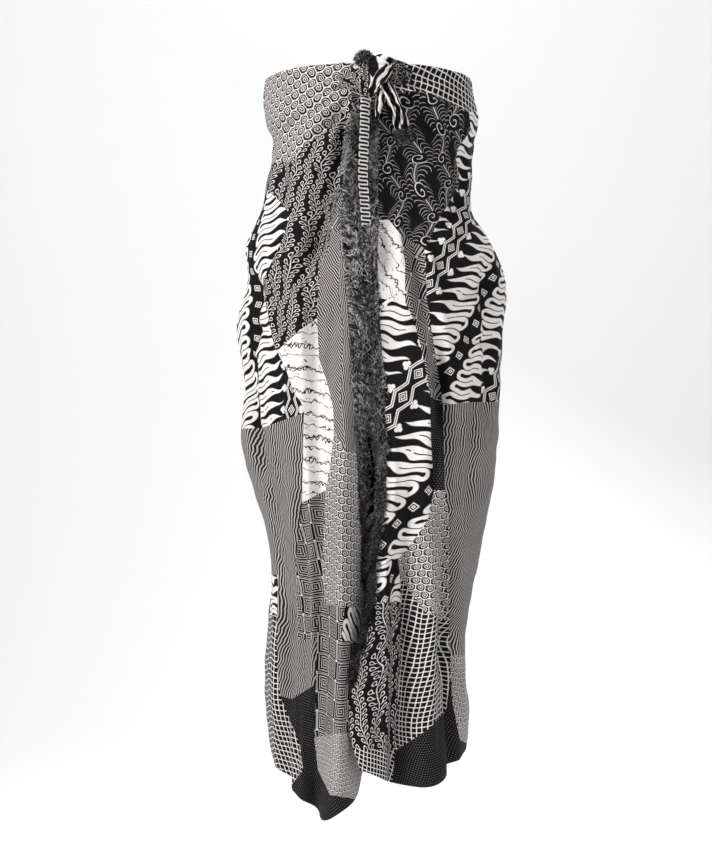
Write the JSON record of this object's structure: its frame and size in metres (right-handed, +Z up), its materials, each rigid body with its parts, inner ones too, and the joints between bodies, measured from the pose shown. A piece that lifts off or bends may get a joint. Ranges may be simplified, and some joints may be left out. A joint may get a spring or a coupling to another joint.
{
  "type": "sarong",
  "caption": "Sarong in its worn form: a fringed patchwork-print cloth wound round the body as a strapless dress, knotted at the bust and open down the front.",
  "frame": {"origin": "middle of the top opening, level with the top edge at the front, where the wearer's bust holds the cloth", "axes": "+Z up along the body, +X to the wearer's left, -Y out of the front where the knot is"},
  "size_m": [0.4013, 0.2877, 1.1034],
  "materials": {
    "printed_rayon": "soft plain-weave rayon, printed black and ivory in patches of traditional patterns",
    "fringe_thread": "loose kinked warp threads, black, grey and ivory mixed"
  },
  "bodies": {
    "root": {"left_front": "printed_rayon", "left_side": "printed_rayon", "right_front": "printed_rayon", "back": "printed_rayon", "knot_loop": "printed_rayon", "knot_side_tail": "printed_rayon", "knot_gather": "printed_rayon", "knot_bundle": "printed_rayon", "knot_small_tail": "printed_rayon", "hanging_strip": "printed_rayon", "fringe_right_edge": "fringe_thread", "fringe_left_edge": "fringe_thread", "fringe_tuft": "fringe_thread", "fringe_strip_end": "fringe_thread", "fringe_tail_end": "fringe_thread"}
  },
  "joints": []
}
